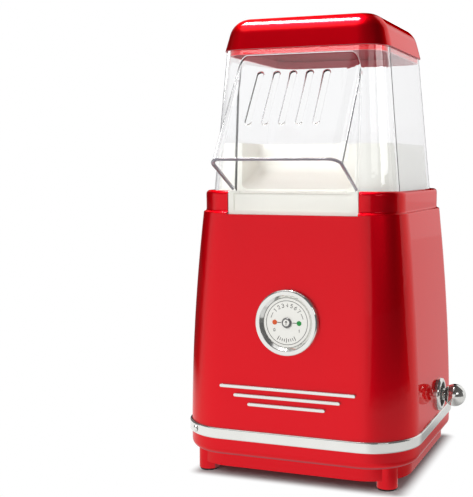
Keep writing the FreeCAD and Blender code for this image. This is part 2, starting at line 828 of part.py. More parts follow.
# popping chamber: a spun cup with a flange on the deck and air louvres low in its wall

CUP_OUT = "(chamber_radius + chamber_wall)"
CUP_FLANGE = CUP_OUT + " + flange_width"
CUP_TOP = "chamber_depth + chamber_wall"
Z_CUP = "(%s - chamber_depth)" % Z_REST
cup = turned([
    ("0", "dish_height"), ("dish_radius", "0"), (CUP_OUT, "0"), (CUP_OUT, "chamber_depth"),
    (CUP_FLANGE, "chamber_depth"), (CUP_FLANGE, CUP_TOP), ("chamber_radius", CUP_TOP),
    ("chamber_radius", "chamber_wall"), ("dish_radius", "chamber_wall"), ("0", "dish_height + chamber_wall")])


def ring_of(count, make):
    """Copies of a piece turned evenly round the Z axis."""
    made = []
    for number in range(count):
        turn = FreeCAD.Rotation(ABOUT_Z, 360.0 * number / count)
        made.append(placed(group(make()), FreeCAD.Placement(V(0, 0, 0), turn)))
    return made


louvres = ring_of(SIZES["louvre_count"], lambda: box(
    "chamber_wall + 2 * over_cut", "louvre_width", "louvre_height", "chamber_radius - over_cut",
    "-louvre_width / 2", "chamber_wall + louvre_rise"))
node(put(cut(cup, *louvres), y="axis_back", z=Z_CUP), "popping_chamber")

# air duct round the blower wheel, the heater and the foot of the chamber

LEDGE = "(wheel_height + ledge_clearance)"
DUCT_RIM = DUCT_OUT + " + duct_flange"
DUCT_MOUTH = CUP_OUT + " + seat_gap"
duct = turned([
    ("intake_radius", "0"), (DUCT_RIM, "0"), (DUCT_RIM, "flange_thickness"), (DUCT_OUT, "flange_thickness"),
    (DUCT_OUT, "duct_height"), (DUCT_MOUTH, "duct_height"), (DUCT_MOUTH, "duct_height - duct_wall"),
    ("duct_radius", "duct_height - duct_wall"), ("duct_radius", LEDGE), ("duct_radius - ledge_width", LEDGE),
    ("duct_radius - ledge_width", LEDGE + " - duct_wall"), ("duct_radius", LEDGE + " - duct_wall"),
    ("duct_radius", "duct_wall"), ("intake_radius", "duct_wall")])
STRAP_HOLE = "(intake_radius + strap_reach)"
duct_holes = [rod("duct_screw + seat_gap", "flange_thickness + 2 * over_cut", x, y, "-over_cut")
              for x, y in SPOKES]


def strap_holes(thickness):
    return [rod("strap_screw + running_gap", thickness + " + 2 * over_cut", "%d * %s" % (side, STRAP_HOLE), "0",
                "-over_cut") for side in (1, -1)]


node(put(cut(duct, *duct_holes, *strap_holes("duct_wall")), y="axis_back", z=Z_DUCT), "air_duct")

HEAD_TOP = "flange_thickness + small_head_height"
duct_screws = []
for x, y in SPOKES:
    screw = turned([
        ("0", "-duct_screw_length - screw_tip"), ("duct_screw", "-duct_screw_length"),
        ("duct_screw", "flange_thickness"), ("small_head", "flange_thickness"),
        ("small_head", HEAD_TOP + " - head_chamfer"), ("small_head - head_chamfer", HEAD_TOP), ("0", HEAD_TOP)])
    duct_screws.append(put(screw, x, "axis_back + " + y, Z_DUCT))
node(group(*duct_screws), "duct_screws")

# heater: a mica ring on the duct ledge, two crossed cards and the wire wound round them

Z_HEATER = "(%s + %s)" % (Z_DUCT, LEDGE)
RING_IN = "card_half - ring_overlap"
RING_OUT = "duct_radius - seat_gap"
ring = turned([(RING_IN, "0"), (RING_OUT, "0"), (RING_OUT, "ring_thickness"), (RING_IN, "ring_thickness")])
node(put(ring, y="axis_back", z=Z_HEATER), "heater_ring")
cards = [box("2 * card_half", "card_thickness", "heater_height", "-card_half", "-card_thickness / 2"),
         box("card_thickness", "2 * card_half", "heater_height", "-card_thickness / 2", "-card_half")]
node(put(fuse(*cards), y="axis_back", z=Z_HEATER + " + ring_thickness"), "heater_cards")
COIL_RADIUS = "(card_half + coil_wire + seat_gap)"
COIL_RUN = "(heater_height - 2 * coil_margin)"
COIL_PITCH = "(%s / coil_turns)" % COIL_RUN
HALF_TURN = "sqrt(%s^2 + (%s / 4)^2)" % (COIL_RADIUS, COIL_PITCH)
climb = math.degrees(math.atan(value("%s / 4 / %s" % (COIL_PITCH, COIL_RADIUS))))
# half turns, each tilted to climb half a pitch, meet end to end along Y
way_out = FreeCAD.Rotation(V(0, 1, 0), climb)
way_back = FreeCAD.Rotation(V(0, 1, 0), -climb).multiply(FreeCAD.Rotation(ABOUT_Z, 180))
halves = []
for number in range(2 * SIZES["coil_turns"]):
    half = doc.addObject("Part::Torus", "half")
    bind(half, "Radius1", HALF_TURN)
    bind(half, "Radius2", "coil_wire")
    half.Angle3 = 180
    put(half, z="(%d + 0.5) * %s / 2" % (number, COIL_PITCH), turn=way_back if number % 2 else way_out)
    halves.append(half)
coil = put(fuse(*halves), y="axis_back", z=Z_HEATER + " + ring_thickness + coil_margin")
node(coil, "heater_coil")

# motor hung under the duct on a strap

Z_STRAP = "(%s - strap_thickness)" % Z_DUCT
Z_MOTOR = "(%s - motor_length)" % Z_STRAP
STRAP_HALF = "(%s + strap_end)" % STRAP_HOLE
BUSH = "(shaft_radius + bush_wall)"
CAN_IN = "(motor_radius - can_wall)"
strap = box("2 * " + STRAP_HALF, "strap_width", "strap_thickness", "-" + STRAP_HALF, "-strap_width / 2")
strap = fuse(strap, rod("motor_radius", "strap_thickness"))
shaft_hole = rod(BUSH + " + 3 * seat_gap", "strap_thickness + 2 * over_cut", z="-over_cut")
strap = cut(strap, shaft_hole, *strap_holes("strap_thickness"))
node(put(strap, y="axis_back", z=Z_STRAP), "motor_strap")
motor_screws = []
for side in (1, -1):
    screw = turned([
        ("0", "-small_head_height"), ("small_head - head_chamfer", "-small_head_height"),
        ("small_head", "head_chamfer - small_head_height"), ("small_head", "0"), ("strap_screw", "0"),
        ("strap_screw", "strap_thickness + duct_wall"), ("0", "strap_thickness + duct_wall + strap_screw_tip")])
    motor_screws.append(put(screw, "%d * %s" % (side, STRAP_HOLE), "axis_back", Z_STRAP))
node(group(*motor_screws), "motor_screws")
can = turned([("motor_radius", "0"), ("motor_radius", "motor_length"), (BUSH, "motor_length"),
              (BUSH, "motor_length - can_wall"), (CAN_IN, "motor_length - can_wall"), (CAN_IN, "0")])
node(put(can, y="axis_back", z=Z_MOTOR), "motor_can")
MAGNET_IN = CAN_IN + " - magnet_thickness"
MAGNET_TOP = "motor_length - magnet_margin"
magnets = turned([(CAN_IN, "magnet_margin"), (CAN_IN, MAGNET_TOP), (MAGNET_IN, MAGNET_TOP),
                  (MAGNET_IN, "magnet_margin")])
pole_gap = box("2 * motor_radius", "pole_gap", "motor_length", "-motor_radius", "-pole_gap / 2")
node(put(cut(magnets, pole_gap), y="axis_back", z=Z_MOTOR), "motor_magnets")
cap = turned([
    (BUSH, "-cap_length"), ("motor_radius - cap_chamfer", "-cap_length"),
    ("motor_radius", "cap_chamfer - cap_length"), ("motor_radius", "0"), (CAN_IN, "0"), (CAN_IN, "cap_spigot"),
    (CAN_IN + " - cap_wall", "cap_spigot"), (CAN_IN + " - cap_wall", "cap_floor - cap_length"),
    (BUSH, "cap_floor - cap_length")])
node(put(cap, y="axis_back", z=Z_MOTOR), "motor_end_cap")
bushes = []
for low in ("-cap_length", "motor_length - bush_length"):
    high = low + " + bush_length"
    bushes.append(turned([("shaft_radius + running_gap", low), (BUSH, low), (BUSH, high),
                          ("shaft_radius + running_gap", high)]))
node(put(group(*bushes), y="axis_back", z=Z_MOTOR), "shaft_bushes")

# turning set: shaft, armature, commutator, blower wheel and its clip

WHEEL = "(motor_length + strap_thickness + duct_wall + wheel_clearance)"
shaft = rod("shaft_radius", WHEEL + " + wheel_height + shaft_nose + cap_length + shaft_tail",
            z="-cap_length - shaft_tail")
node(put(group(shaft), y="axis_back", z=Z_MOTOR), "motor_shaft")
ARMATURE = "(motor_radius - can_wall - magnet_thickness - air_gap)"
COMMUTATOR_TOP = "(commutator_low + commutator_length)"
CORE_LOW = "(%s + core_gap)" % COMMUTATOR_TOP
CORE_HIGH = "(motor_length - core_margin)"
core = turned([
    ("shaft_radius", CORE_LOW), ("shaft_radius + core_hub", CORE_LOW), (ARMATURE, CORE_LOW + " + core_taper"),
    (ARMATURE, CORE_HIGH + " - core_taper"), ("shaft_radius + core_hub", CORE_HIGH),
    ("shaft_radius", CORE_HIGH)])
teeth = ring_of(SIZES["core_slots"], lambda: box(
    "motor_radius", "core_slot_width", "motor_length", ARMATURE + " - core_slot_depth", "-core_slot_width / 2"))
node(put(cut(core, *teeth), y="axis_back", z=Z_MOTOR), "armature")


def sleeve(width, low, high):
    """A plain ring on the shaft."""
    far = "shaft_radius + " + width
    return turned([("shaft_radius", low), (far, low), (far, high), ("shaft_radius", high)])


node(put(sleeve("commutator_wall", "commutator_low", COMMUTATOR_TOP), y="axis_back", z=Z_MOTOR), "commutator")
plate = turned([
    ("shaft_radius", "0"), ("wheel_radius", "0"), ("wheel_radius", "wheel_plate"),
    ("shaft_radius + wheel_hub", "wheel_plate"), ("shaft_radius + wheel_hub", "wheel_height"),
    ("shaft_radius", "wheel_height")])
blades = ring_of(SIZES["blade_count"], lambda: box(
    "wheel_radius - blade_start", "blade_thickness", "wheel_height - wheel_plate / 2", "blade_start",
    "blade_lean", "wheel_plate / 2"))
wheel = fuse(plate, common(fuse(*blades), rod("wheel_radius", "wheel_height")))
node(put(wheel, y="axis_back", z=Z_MOTOR + " + " + WHEEL), "blower_wheel")
clip = sleeve("clip_width", "0", "clip_thickness")
node(put(clip, y="axis_back", z=Z_MOTOR + " + " + WHEEL + " + wheel_height"), "wheel_clip")

# temperature guard parts on the duct and the rectifier on the tray floor

STAT_TOP = "stat_height + stat_cap_height"
stat = turned([("0", "0"), ("stat_radius", "0"), ("stat_radius", "stat_height"),
               ("stat_cap_radius", "stat_height"), ("stat_cap_radius", STAT_TOP), ("0", STAT_TOP)])
stat_turn = FreeCAD.Rotation(V(0, 1, 0), -90)
node(put(stat, "-" + DUCT_OUT, "axis_back", Z_DUCT + " + guard_height", stat_turn), "thermostat")
FUSE_TIP = "fuse_half + fuse_end"
fuse_body = turned([
    ("0", "-(%s + fuse_tip)" % FUSE_TIP), ("fuse_tip_radius", "-(%s)" % FUSE_TIP),
    ("fuse_radius", "-fuse_half"), ("fuse_radius", "fuse_half"), ("fuse_tip_radius", FUSE_TIP),
    ("0", FUSE_TIP + " + fuse_tip")])
node(put(fuse_body, "0", "axis_back - %s - fuse_radius" % DUCT_OUT, Z_DUCT + " + guard_height"), "thermal_fuse")
board = box("board_length", "board_width", "board_thickness", "board_side - board_length / 2",
            "board_front - board_width / 2", Z_FLOOR + " + lug_height")
node(group(board), "rectifier_board")
Z_DIODE = Z_FLOOR + " + lug_height + board_thickness + diode_radius"
diodes = [rod("diode_radius", "diode_length",
              "board_side + (%d - (diode_count - 1) / 2) * diode_pitch" % number,
              "board_front + diode_length / 2", Z_DIODE, ACROSS) for number in range(SIZES["diode_count"])]
node(group(*diodes), "rectifier_diodes")

# chute: an ivory box on the deck with a round throat and a trough to the front

HOOD_RUN = "(%s + hood_height - %s)" % (Z_COLLAR, Z_DECK)
RIM_SHARE = "(chute_height / %s)" % HOOD_RUN
CHUTE_INSET = "(hood_wall + chute_gap)"
RIM_WIDTH = "(hood_width - (hood_width - hood_top_width) * %s)" % RIM_SHARE
RIM_DEPTH = "(hood_depth - (hood_depth - hood_top_depth) * %s)" % RIM_SHARE
RIM_CORNER = "(hood_corner - (hood_corner - hood_top_corner) * %s)" % RIM_SHARE
Z_RIM = "(%s + chute_height)" % Z_REST
SPOUT_FRONT = "(shoulder_depth / 2 - collar_step - spout_inset)"
HOOD_FRONT = "(hood_depth / 2)"
THROAT = "(chamber_radius + throat_gap)"
CREST = "(axis_back - %s - throat_flare - crest_gap)" % THROAT
CREST_LEAN = "(crest_run / (chute_height - apron_height - crest_rise))"
FLARE_LOW = "chute_height - flare_height"


def chute_loft(inset, drop):
    more = "(%s + %s)" % (CHUTE_INSET, inset)
    low = inset_level("hood_width", "hood_depth", "hood_corner", more, Z_REST + " - " + drop)
    high = inset_level(RIM_WIDTH, RIM_DEPTH, RIM_CORNER, more, Z_RIM + " - " + inset)
    return loft([low, high])


def trough(grow):
    """The channel the popcorn slides down; grow thickens it for the walls round it."""
    floor = "%s + apron_height - floor_drop - %s + floor_slope * (%%s + %s)" % (Z_REST, grow, SPOUT_FRONT)
    front = "-2 * hood_depth"
    slide = CREST + " - slide_run"
    top = Z_RIM + " + apron_height"
    bend_y = CREST + " - crest_run + %s / 2" % grow
    bend_z = "%s + apron_height + crest_rise - %s" % (Z_REST, grow)
    side = polygon_sketch([
        (front, floor % front), (slide, floor % slide), (bend_y, bend_z),
        ("%s + %s + %s * apron_height" % (CREST, grow, CREST_LEAN), top), (front, top)], PLANE_YZ)
    width = "trough_width + 2 * " + grow
    made = extrude(side, width, ABOUT_X, True)

    def crease(y):
        along = value(y)
        return lambda middle, edge: abs(middle.x) < TINY and abs(middle.y - along) < TINY
    made = rounded_edges(made, "slide_ease + " + grow, crease(slide))
    made = rounded_edges(made, "crest_ease + " + grow, crease(bend_y))
    half = value(width) / 2
    first = value(front)
    last = value(top)

    def low_side(middle, edge):
        return abs(abs(middle.x) - half) < TINY and middle.y > first + TINY and middle.z < last - TINY
    return rounded_edges(made, "trough_fillet + " + grow, low_side)


spout = box("spout_width", "%s - hood_depth / 4" % SPOUT_FRONT, "apron_height", "-spout_width / 2",
            "-" + SPOUT_FRONT, Z_REST)
apron = box("apron_width", "%s - %s - seat_gap" % (SPOUT_FRONT, HOOD_FRONT), "apron_height", "-apron_width / 2",
            "-" + SPOUT_FRONT, Z_REST)
recess = box("apron_width - 2 * apron_frame", "apron_recess + over_cut",
             "apron_height - apron_sill - floor_drop", "apron_frame - apron_width / 2",
             "-%s - over_cut" % SPOUT_FRONT, Z_REST + " + apron_sill")


def throat(wall, low, high):
    """The round way up from the chamber, flared at its top."""
    narrow = "%s + %s" % (THROAT, wall)
    wide = narrow + " + throat_flare"
    made = turned([("0", low), (narrow, low), (narrow, FLARE_LOW), (wide, "chute_height"), (wide, high),
                   ("0", high)])
    return put(made, y="axis_back", z=Z_REST)


under = cut(chute_loft("chute_wall", "over_cut"), trough("chute_wall"),
            throat("chute_wall", "over_cut", "chute_height + over_cut"))
chute = cut(fuse(chute_loft("0", "0"), spout, apron), trough("0"),
            throat("0", "-over_cut", "chute_height + over_cut"), under, recess)
node(chute, "chute")

# hood: a tapered clear box with a sloping awning over the chute

HOOD_SLOPE = "((hood_depth - hood_top_depth) / 2 / %s)" % HOOD_RUN
Z_AWNING = "(%s + awning_rise)" % Z_COLLAR
TOP_Y = "(hood_depth / 2 - %s * (awning_rise + collar_height + deck_drop))" % HOOD_SLOPE
LIP_Y = "(hood_depth / 2 + awning_projection)"
Z_HOOD_TOP = "(%s - rest_gap)" % Z_LID


def hood_loft(inset, extra):
    low = inset_level("hood_width", "hood_depth", "hood_corner", inset, Z_REST + " - " + extra)
    high = inset_level("hood_top_width", "hood_top_depth", "hood_top_corner", inset, Z_HOOD_TOP + " + " + extra)
    return loft([low, high])


slope = V(0, value(TOP_Y) - value(LIP_Y), value("lip_rise") - value("awning_rise"))
slope.normalize()
inward = V(0, -slope.z, slope.y)
panel_top = V(0, -value(TOP_Y), value(Z_AWNING))
lip = V(0, -value(LIP_Y), value(Z_COLLAR) + value("lip_rise"))
panel_run = (panel_top - lip).Length
across_turn = FreeCAD.Rotation(ABOUT_X, math.degrees(math.atan2(-slope.y, slope.z)))


def awning(inset, length):
    """A rounded prism run down the slope; inset 0 is its outside, hood_wall its inside."""
    middle = panel_top - slope * value("over_cut") + inward * value("awning_run / 2 + " + inset)
    profile = rounded_sketch("awning_width - 2 * " + inset, "awning_run", "awning_corner - " + inset,
                             FreeCAD.Placement(middle, across_turn))
    return extrude(profile, "%.3f" % length, slope)


HEEL_Y = "(%s * collar_height - %s)" % (HOOD_SLOPE, HOOD_FRONT)
heel = V(0, value(HEEL_Y), value(Z_COLLAR + " + mouth_gap"))
mouth_turn = FreeCAD.Rotation(ABOUT_X, math.degrees(math.atan2(heel.z - lip.z, heel.y - lip.y)))
below_mouth = box("2 * hood_width", "2 * hood_depth", "hood_depth")
corner = V(-value("hood_width"), -value("awning_projection"), -value("hood_depth"))
below_mouth.Placement = FreeCAD.Placement(lip + mouth_turn.multVec(corner), mouth_turn)
canopy = cut(awning("0", panel_run + value("lip_rise")), below_mouth)
panel_turn = FreeCAD.Rotation(ABOUT_X, math.degrees(math.atan2(-slope.z, -slope.y)))
slots = []
for number in range(SIZES["slot_count"]):
    outline = rounded_sketch("slot_width", "slot_length", "slot_width / 2 - end_flat", FreeCAD.Placement())
    across = value("(%d - (slot_count - 1) / 2) * slot_pitch" % number)
    spot = panel_top + slope * value("slot_drop") - inward * value("over_cut") + V(across, 0, 0)
    outline.Placement = FreeCAD.Placement(spot, panel_turn)
    slots.append(extrude(outline, "hood_wall + 2 * over_cut", inward))


def on_slot(depth):
    """Picks the slots' edges at one depth below the awning's outer face."""
    below = value(depth)
    reach = value("slot_length / 2")
    side = value("slot_count * slot_pitch / 2")

    def wanted(middle, edge):
        spot = middle - panel_top
        along = spot.dot(slope) - value("slot_drop")
        return abs(spot.dot(inward) - below) < TINY and abs(along) < reach + TINY and abs(middle.x) < side
    return wanted


hood = cut(fuse(hood_loft("0", "0"), canopy), hood_loft("hood_wall", "over_cut"),
           awning("hood_wall", panel_run + 2 * value("lip_rise")), *slots)
hood = rounded_edges(hood, "slot_round", on_slot("0"))
hood = rounded_edges(hood, "slot_round", on_slot("hood_wall"))

# a round bead where each side of the awning meets the front wall
wall_lean = FreeCAD.Rotation(ABOUT_X, -math.degrees(math.atan(value(HOOD_SLOPE))))
beads = []
for side in (1, -1):
    bead = rod("bead_radius", "awning_rise - 2 * awning_corner")
    foot = V(side * value("awning_width") / 2, heel.y, heel.z + value("2 * bead_radius"))
    bead.Placement = FreeCAD.Placement(foot, wall_lean)
    beads.append(bead)
node(fuse(hood, *beads), "hood")

# lid: a drafted cap with a rounded top and a rib that drops inside the hood

LID_WIDTH = "(hood_top_width + 2 * lid_overhang)"
LID_DEPTH = "(hood_top_depth + 2 * lid_overhang)"
Z_TOP = "(%s + lid_height)" % Z_LID


def lid_loft(inset, low_z):
    low = inset_level(LID_WIDTH, LID_DEPTH, "lid_corner", inset, low_z)
    high = inset_level(LID_WIDTH + " - 2 * lid_draft", LID_DEPTH + " - 2 * lid_draft", "lid_top_corner", inset,
                       Z_TOP + " - " + inset)
    made = loft([low, high])
    return rounded_edges(made, "lid_round - " + inset, at_height(Z_TOP + " - " + inset))


lid_out = lid_loft("0", Z_LID)
lid_in = lid_loft("lid_wall", Z_LID + " + lid_wall")
RIB_INSET = "(hood_wall + 2 * seat_gap)"
Z_RIB = Z_LID + " - lid_rib"
rib = inset_level("hood_top_width", "hood_top_depth", "hood_top_corner", RIB_INSET, Z_RIB)
rib = extrude(rib, "lid_rib + over_cut", V(0, 0, 1))
MOUTH_INSET = "(%s + lid_wall)" % RIB_INSET
mouth = inset_level("hood_top_width", "hood_top_depth", "hood_top_corner", MOUTH_INSET, Z_RIB + " - over_cut")
mouth = extrude(mouth, "lid_rib + lid_wall + 2 * over_cut", V(0, 0, 1))
node(cut(fuse(lid_out, rib), lid_in, mouth), "lid")

doc.recompute()
faults = []
for item in doc.Objects:
    if "Invalid" in item.State or "Error" in item.State:
        faults.append("%s %s" % (item.Name, item.State))
for piece in NODES:
    if piece.Shape.isNull() or not piece.Shape.isValid():
        faults.append("%s has no valid shape" % piece.Label)
if faults:
    raise RuntimeError("; ".join(faults))

os.makedirs("parts", exist_ok=True)
for piece in NODES:
    piece.Shape.exportStep("parts/%s.step" % piece.Label)
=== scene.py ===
import json
import math

import bmesh
import bpy
from mathutils import Matrix, Vector


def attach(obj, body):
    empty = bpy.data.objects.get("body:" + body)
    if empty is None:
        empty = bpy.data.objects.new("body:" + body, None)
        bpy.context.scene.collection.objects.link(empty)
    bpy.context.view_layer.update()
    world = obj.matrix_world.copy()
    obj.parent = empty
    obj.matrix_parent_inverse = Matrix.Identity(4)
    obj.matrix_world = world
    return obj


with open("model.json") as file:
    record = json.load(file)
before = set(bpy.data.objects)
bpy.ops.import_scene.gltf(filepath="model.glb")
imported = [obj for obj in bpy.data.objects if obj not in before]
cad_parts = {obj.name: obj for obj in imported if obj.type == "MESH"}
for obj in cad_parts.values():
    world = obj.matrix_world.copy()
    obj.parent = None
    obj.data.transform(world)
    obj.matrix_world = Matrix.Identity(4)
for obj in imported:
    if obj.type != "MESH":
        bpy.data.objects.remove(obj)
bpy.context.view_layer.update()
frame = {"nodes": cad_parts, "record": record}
NODES = frame["nodes"]
MM = 0.001
UP = Vector((0, 0, 1))


# shader building

class Value:
    """One shader socket; arithmetic on it adds Math nodes."""

    def __init__(self, finish, socket):
        self.finish = finish
        self.socket = socket

    def math(self, operation, *terms):
        return self.finish.node("ShaderNodeMath", {"operation": operation}, terms)

    def __add__(self, other):
        return self.math("ADD", self, other)

    def __radd__(self, other):
        return self.math("ADD", other, self)

    def __sub__(self, other):
        return self.math("SUBTRACT", self, other)

    def __rsub__(self, other):
        return self.math("SUBTRACT", other, self)

    def __mul__(self, other):
        return self.math("MULTIPLY", self, other)

    def __rmul__(self, other):
        return self.math("MULTIPLY", other, self)

    def __pow__(self, other):
        return self.math("POWER", self, other)

    def size(self):
        return self.math("ABSOLUTE", self)

    def at_least(self, other):
        return self.math("MAXIMUM", self, other)

    def at_most(self, other):
        return self.math("MINIMUM", self, other)


class Finish:
    """A node tree with one method that adds any node."""
    MIX_SHARE = 0
    MIX_FIRST = 6
    MIX_SECOND = 7
    MIX_RESULT = 2

    def __init__(self, tree):
        self.tree = tree
        self.tree.nodes.clear()

    def node(self, kind, settings=None, sockets=(), out=0):
        made = self.tree.nodes.new(kind)
        for name, setting in (settings or {}).items():
            setattr(made, name, setting)
        pairs = sockets.items() if isinstance(sockets, dict) else enumerate(sockets)
        for key, value in pairs:
            self.feed(made.inputs[key], value)
        return Value(self, made.outputs[out]) if len(made.outputs) else made

    def feed(self, socket, value):
        if isinstance(value, Value):
            self.tree.links.new(value.socket, socket)
        else:
            socket.default_value = value

    def vector(self, operation, terms, out="Vector"):
        return self.node("ShaderNodeVectorMath", {"operation": operation}, terms, out)

    def ray(self, name):
        return self.node("ShaderNodeLightPath", out=name)

    def place(self):
        return self.node("ShaderNodeTexCoord", out="Object")

    def part(self, direction, name):
        return self.node("ShaderNodeSeparateXYZ", None, [direction], out=name)

    def axis(self, name):
        return self.part(self.place(), name)

    def stretched(self, scale):
        return self.vector("MULTIPLY", [self.place(), scale])

    def noise(self, scale, detail=2.0, where=None):
        return self.node("ShaderNodeTexNoise", None, {
            "Vector": where or self.place(), "Scale": scale, "Detail": detail}, out="Fac")

    def step(self, value, low, high):
        """0 at low, 1 at high, smooth between."""
        return self.node("ShaderNodeMapRange", {"interpolation_type": "SMOOTHSTEP"}, {
            "Value": value, "From Min": low, "From Max": high})

    def mix(self, share, first, second):
        return self.node("ShaderNodeMix", {"data_type": "RGBA"}, {
            self.MIX_SHARE: share, self.MIX_FIRST: colour(first), self.MIX_SECOND: colour(second)},
            out=self.MIX_RESULT)

    def grey(self, level):
        return self.node("ShaderNodeCombineColor", None, [level, level, level])

    def blend(self, share, first, second):
        return self.node("ShaderNodeMixShader", None, [share, first, second])

    def bump(self, height, strength, distance):
        return self.node("ShaderNodeBump", None, {
            "Strength": strength, "Distance": distance, "Height": height})


def colour(shade):
    return shade if isinstance(shade, Value) else (*shade, 1)


def srgb(red, green, blue):
    """A screen colour of 0 to 255 as linear light."""
    shares = [level / 255 for level in (red, green, blue)]
    return tuple(share / 12.92 if share < 0.04045 else ((share + 0.055) / 1.055) ** 2.4 for share in shares)


FINISHES = {}


def finish(name):
    """Makes the material once, from the function that has its name."""
    if name not in FINISHES:
        material = bpy.data.materials.new(name)
        material.use_nodes = True
        FINISHES[name] = material
        made = Finish(material.node_tree)
        shader = RECIPES[name](made)
        made.node("ShaderNodeOutputMaterial", None, {"Surface": shader})
    return FINISHES[name]


def principled(f, **sockets):
    named = {key.replace("_", " "): value for key, value in sockets.items()}
    return f.node("ShaderNodeBsdfPrincipled", None, named)


def mottled(f, grain, dark, light, roughness, gain, **sockets):
    """A finish whose shade and roughness follow one noise."""
    base = f.mix(grain, srgb(*dark), srgb(*light))
    return principled(f, Base_Color=base, Roughness=roughness + gain * grain, **sockets)


# what reflections see

def toward(azimuth, elevation):
    """A direction seen from the part: azimuth 0 is the front, 90 its right side."""
    turn = math.radians(azimuth)
    rise = math.radians(elevation)
    return Vector((math.sin(turn) * math.cos(rise), -math.cos(turn) * math.cos(rise), math.sin(rise)))


def patch(f, heading, way, edge, full):
    """A round soft-edged spot in the surroundings: 1 inside, 0 outside, by the cosine from its middle."""
    return f.step(f.vector("DOT_PRODUCT", [heading, way], "Value"), edge, full)


def dark_room(f, heading):
    """The unlit part of the studio at the right, and a smaller one at the left."""
    right = patch(f, heading, toward(63, 5), 0.65, 0.73)
    left = patch(f, heading, toward(-112, 5), 0.8, 0.94)
    return right.at_least(left)


def seen_directly(f):
    """1 for a reflection seen straight off a surface, 0 for one seen through the clear plastic."""
    return 1 - f.ray("Transmission Depth").at_most(1.0)


# finishes

LID_FOOT = 0.325
LID_START = 0.33


def candy_red(f):
    """Red lacquer over bright flake on the outside; undersides and insides are bare moulded plastic, given a
    dull mauve that is also painted shade under and inside the part.
    """
    flake = f.noise(2600, 1)
    cloud = f.noise(9, 3)
    peel = f.noise(240)
    facing = f.node("ShaderNodeNewGeometry", out="Normal")
    outward = f.vector("DOT_PRODUCT", [facing, f.stretched((1, 1, 0))], "Value")
    down = f.step(f.part(facing, "Z"), -0.45, -0.8)
    # painted shade: faces that look down or inward take a dull mauve, bare plastic that also stands in for the
    # shade under and inside the part
    bare_and_shaded = down.at_least(f.step(outward, -0.01, -0.02))
    lid = f.step(f.axis("Z"), LID_FOOT, LID_START)
    paint = f.mix(flake * 0.6 + cloud * 0.4, (0.78, 0.0010, 0.007), (0.90, 0.0022, 0.016))
    return principled(
        f, Base_Color=f.mix(bare_and_shaded, paint, (0.55, 0.10, 0.12)), Metallic=0.96 * (1 - bare_and_shaded),
        Roughness=0.43 + 0.06 * cloud - 0.08 * lid, Specular_Tint=(1, 0.1, 0.12, 1),
        Coat_Weight=0.75 * (1 - bare_and_shaded), Coat_Roughness=0.03, Coat_IOR=1.35,
        Normal=f.bump(peel, 0.02, 0.0004))


def chrome(f):
    smudge = f.noise(42, 4)
    base = f.mix(smudge, srgb(232, 232, 228), srgb(244, 244, 240))
    return principled(f, Base_Color=base, Metallic=0.84, Roughness=0.06 + 0.08 * smudge ** 2)


def ivory(f):
    return mottled(f, f.noise(14, 3), (240, 240, 232), (249, 249, 241), 0.45, 0.1,
                   Specular_IOR_Level=0.15, Normal=f.bump(f.noise(900), 0.04, 0.0002))


def clear_plastic(f):
    """Clear moulding; where it is seen edge-on its thickness gathers a violet grey."""
    haze = f.noise(22, 3)
    face = principled(f, Base_Color=(0.992, 0.993, 0.997, 1), Roughness=0.004 + 0.02 * haze, IOR=1.47,
                      Transmission_Weight=1.0)
    edge = principled(f, Base_Color=f.mix(haze, (0.42, 0.40, 0.47), (0.58, 0.57, 0.63)), Roughness=0.2)
    slant = f.node("ShaderNodeLayerWeight", None, {"Blend": 0.5}, out="Facing")
    body = f.blend(0.5 * slant ** 6, face, edge)
    through = f.node("ShaderNodeBsdfTransparent", None, {"Color": (0.96, 0.96, 0.965, 1)})
    return f.blend(f.ray("Is Shadow Ray"), body, through)


def clear_rim(f):
    """The thick moulded edge of the clear hood, which gathers a grey tint."""
    haze = f.noise(60, 3)
    base = f.mix(haze, (0.42, 0.40, 0.46), (0.68, 0.67, 0.72))
    return principled(f, Base_Color=base, Roughness=0.12 + 0.1 * haze, IOR=1.47, Transmission_Weight=0.8)


def dial_white(f):
    return mottled(f, f.noise(60, 3), (248, 247, 240), (254, 253, 248), 0.4, 0.1)


def dial_ink(f):
    return mottled(f, f.noise(700), (52, 50, 50), (88, 86, 84), 0.5, 0.1)


def hub_grey(f):
    return mottled(f, f.noise(500), (96, 95, 96), (128, 127, 128), 0.3, 0.1, Metallic=0.4)


def marker_orange(f):
    return mottled(f, f.noise(600), (214, 78, 30), (232, 104, 48), 0.3, 0.1)


def marker_green(f):
    return mottled(f, f.noise(600), (12, 132, 52), (34, 160, 74), 0.3, 0.1)


def black_plastic(f):
    grain = f.noise(1500, 3)
    return mottled(f, grain, (14, 14, 15), (34, 34, 36), 0.42, 0.2, Normal=f.bump(grain, 0.2, 0.0002))


def dark_rubber(f):
    grain = f.noise(1100, 3)
    return mottled(f, grain, (24, 23, 23), (46, 45, 44), 0.7, 0.2, Normal=f.bump(grain, 0.3, 0.0003))


def zinc_steel(f):
    lines = f.noise(300, where=f.stretched((1, 1, 22)))
    return mottled(f, lines, (168, 170, 172), (206, 208, 210), 0.26, 0.18, Metallic=1.0)


def aluminium(f):
    rings = f.noise(240, where=f.stretched((0.2, 0.2, 6)))
    return mottled(f, rings, (188, 190, 192), (222, 223, 224), 0.3, 0.15, Metallic=1.0)


def brass(f):
    return mottled(f, f.noise(300), (178, 142, 80), (208, 174, 108), 0.28, 0.15, Metallic=1.0)


def mica(f):
    return mottled(f, f.noise(500, 4), (176, 160, 128), (216, 204, 176), 0.5, 0.2)


def heater_wire(f):
    return mottled(f, f.noise(400, 3), (92, 84, 80), (140, 132, 126), 0.45, 0.2, Metallic=0.9)


def magnet(f):
    return mottled(f, f.noise(900, 3), (48, 48, 50), (82, 82, 84), 0.55, 0.2, Metallic=0.5)


def board_green(f):
    return mottled(f, f.noise(800), (22, 84, 46), (40, 116, 66), 0.4, 0.1)


STAND_SHIFT = 0.004
STAND_HALF_WIDTH = 0.080
STAND_HALF_DEPTH = 0.082
SHADE_REACH = 0.014


